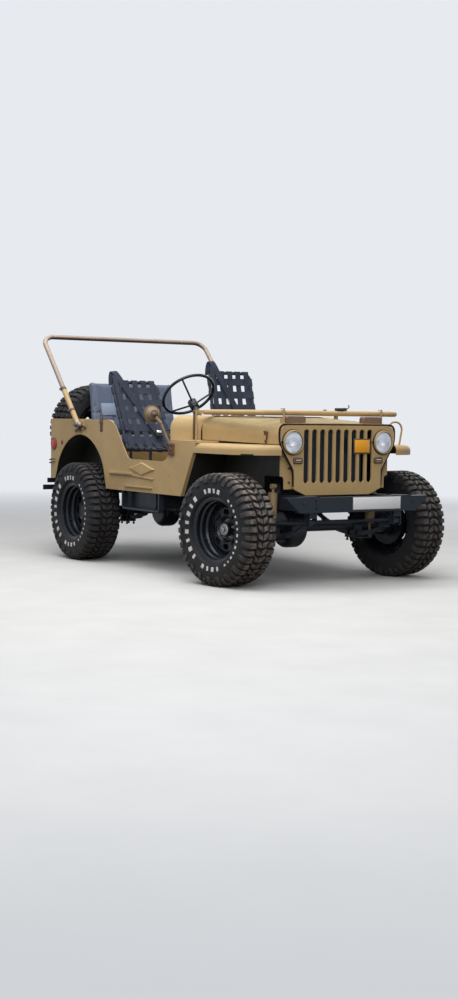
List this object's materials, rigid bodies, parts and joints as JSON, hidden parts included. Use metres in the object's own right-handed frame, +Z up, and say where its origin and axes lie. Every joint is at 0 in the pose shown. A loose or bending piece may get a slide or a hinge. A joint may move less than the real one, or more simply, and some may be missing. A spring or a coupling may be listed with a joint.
{
  "type": "open field car",
  "caption": "Open four-wheel-drive field car on tall mud tyres, slotted grille, windscreen folded on the bonnet, leaning rear bow and a spare wheel at the tail.",
  "frame": {"origin": "centre of the overall box in plan, on the ground", "axes": "+X forward, +Y to the car's left, +Z up"},
  "size_m": [3.472, 1.7935, 1.7539],
  "materials": {
    "body_paint": "sand-tan paint, worn and dusty",
    "black_paint": "black chassis paint, dusty",
    "tyre": "black rubber, brown dust in the tread",
    "cast_iron": "dark cast iron",
    "bare_steel": "dull, lightly rusted steel",
    "wood": "painted hardwood blocks",
    "lamp_glass": "fluted lamp glass",
    "amber_plastic": "dull lamp covers",
    "webbing": "black webbing",
    "vinyl": "black vinyl",
    "helm_plastic": "black moulded rim",
    "pane_glass": "clear flat glass"
  },
  "bodies": {
    "chassis": {"frame": "black_paint", "front_bumper": "black_paint", "front_axle": "black_paint", "rear_axle": "black_paint", "leaf_springs": "black_paint", "shock_absorbers": "body_paint", "engine": "cast_iron", "radiator": "black_paint", "driveline": "black_paint", "exhaust": "bare_steel", "fuel_tank": "black_paint", "tub_floor": "body_paint", "tub_side_right": "body_paint", "tub_side_left": "body_paint", "rear_panel": "body_paint", "cowl": "body_paint", "bonnet": "body_paint", "bonnet_blocks": "wood", "grille": "body_paint", "headlamps": "body_paint", "headlamp_lenses": "lamp_glass", "marker_lamps": "amber_plastic", "fender_right": "body_paint", "fender_left": "body_paint", "driver_seat_frame": "black_paint", "driver_seat_net": "webbing", "passenger_seat_frame": "black_paint", "passenger_seat_net": "webbing", "seat_belts": "webbing", "bench_cushion": "vinyl", "bench_backrest": "vinyl", "bench_stand": "black_paint", "steering_column": "black_paint", "cabin_levers": "black_paint", "side_mirror": "body_paint", "side_steps": "black_paint", "shock_brackets": "black_paint", "spare_tyre": "tyre", "spare_rim": "black_paint"},
    "front_left_knuckle": {"knuckle_left": "black_paint"},
    "front_right_knuckle": {"knuckle_right": "black_paint"},
    "tie_rod_body": {"tie_rod": "black_paint"},
    "front_left_wheel": {"tyre_front_left": "tyre", "rim_front_left": "black_paint"},
    "front_right_wheel": {"tyre_front_right": "tyre", "rim_front_right": "black_paint"},
    "rear_left_wheel": {"tyre_rear_left": "tyre", "rim_rear_left": "black_paint"},
    "rear_right_wheel": {"tyre_rear_right": "tyre", "rim_rear_right": "black_paint"},
    "helm": {"steering_wheel": "helm_plastic"},
    "windscreen": {"windscreen_frame": "body_paint", "windscreen_glass": "pane_glass"},
    "bow": {"top_bow": "body_paint"}
  },
  "joints": [
    {"name": "steer_right", "type": "hinge", "parent": "chassis", "child": "front_right_knuckle", "pos_m": [1.227, -0.575, 0.372], "axis": [0, 0, 1], "range_deg": [-33.3, 16.7]},
    {"name": "steer_left", "type": "hinge", "parent": "chassis", "child": "front_left_knuckle", "pos_m": [1.227, 0.575, 0.372], "axis": [0, 0, 1], "range_deg": [-33.3, 16.7]},
    {"name": "tie_rod_pivot", "type": "hinge", "parent": "front_right_knuckle", "child": "tie_rod_body", "pos_m": [1.392, -0.56306, 0.411], "axis": [0, 0, 1], "range_deg": [-16.7, 33.3]},
    {"name": "helm_turn", "type": "hinge", "parent": "chassis", "child": "helm", "pos_m": [0.082, -0.33, 1.27], "axis": [-0.7071, 0, 0.7071], "range_deg": [-400, 201]},
    {"name": "front_right_spin", "type": "hinge", "parent": "front_right_knuckle", "child": "front_right_wheel", "pos_m": [1.24822, -0.72046, 0.372], "axis": [-0.1444, 0.9895, 0], "continuous": true},
    {"name": "front_left_spin", "type": "hinge", "parent": "front_left_knuckle", "child": "front_left_wheel", "pos_m": [1.20578, 0.72046, 0.372], "axis": [-0.1444, 0.9895, 0], "continuous": true},
    {"name": "rear_right_spin", "type": "hinge", "parent": "chassis", "child": "rear_right_wheel", "pos_m": [-0.805, -0.722, 0.372], "axis": [0, 1, 0], "continuous": true},
    {"name": "rear_left_spin", "type": "hinge", "parent": "chassis", "child": "rear_left_wheel", "pos_m": [-0.805, 0.722, 0.372], "axis": [0, 1, 0], "continuous": true},
    {"name": "windscreen_fold", "type": "hinge", "parent": "chassis", "child": "windscreen", "pos_m": [0.637, 0, 1.142], "axis": [0, -1, 0], "range_deg": [0, 98]},
    {"name": "bow_fold", "type": "hinge", "parent": "chassis", "child": "bow", "pos_m": [-0.863, 0, 1.03], "axis": [0, 1, 0], "range_deg": [-47, 43]}
  ],
  "couplings": [
    {"joint": "steer_left", "follows": "steer_right", "ratio": 1},
    {"joint": "tie_rod_pivot", "follows": "steer_right", "ratio": -1},
    {"joint": "helm_turn", "follows": "steer_right", "ratio": 12}
  ]
}
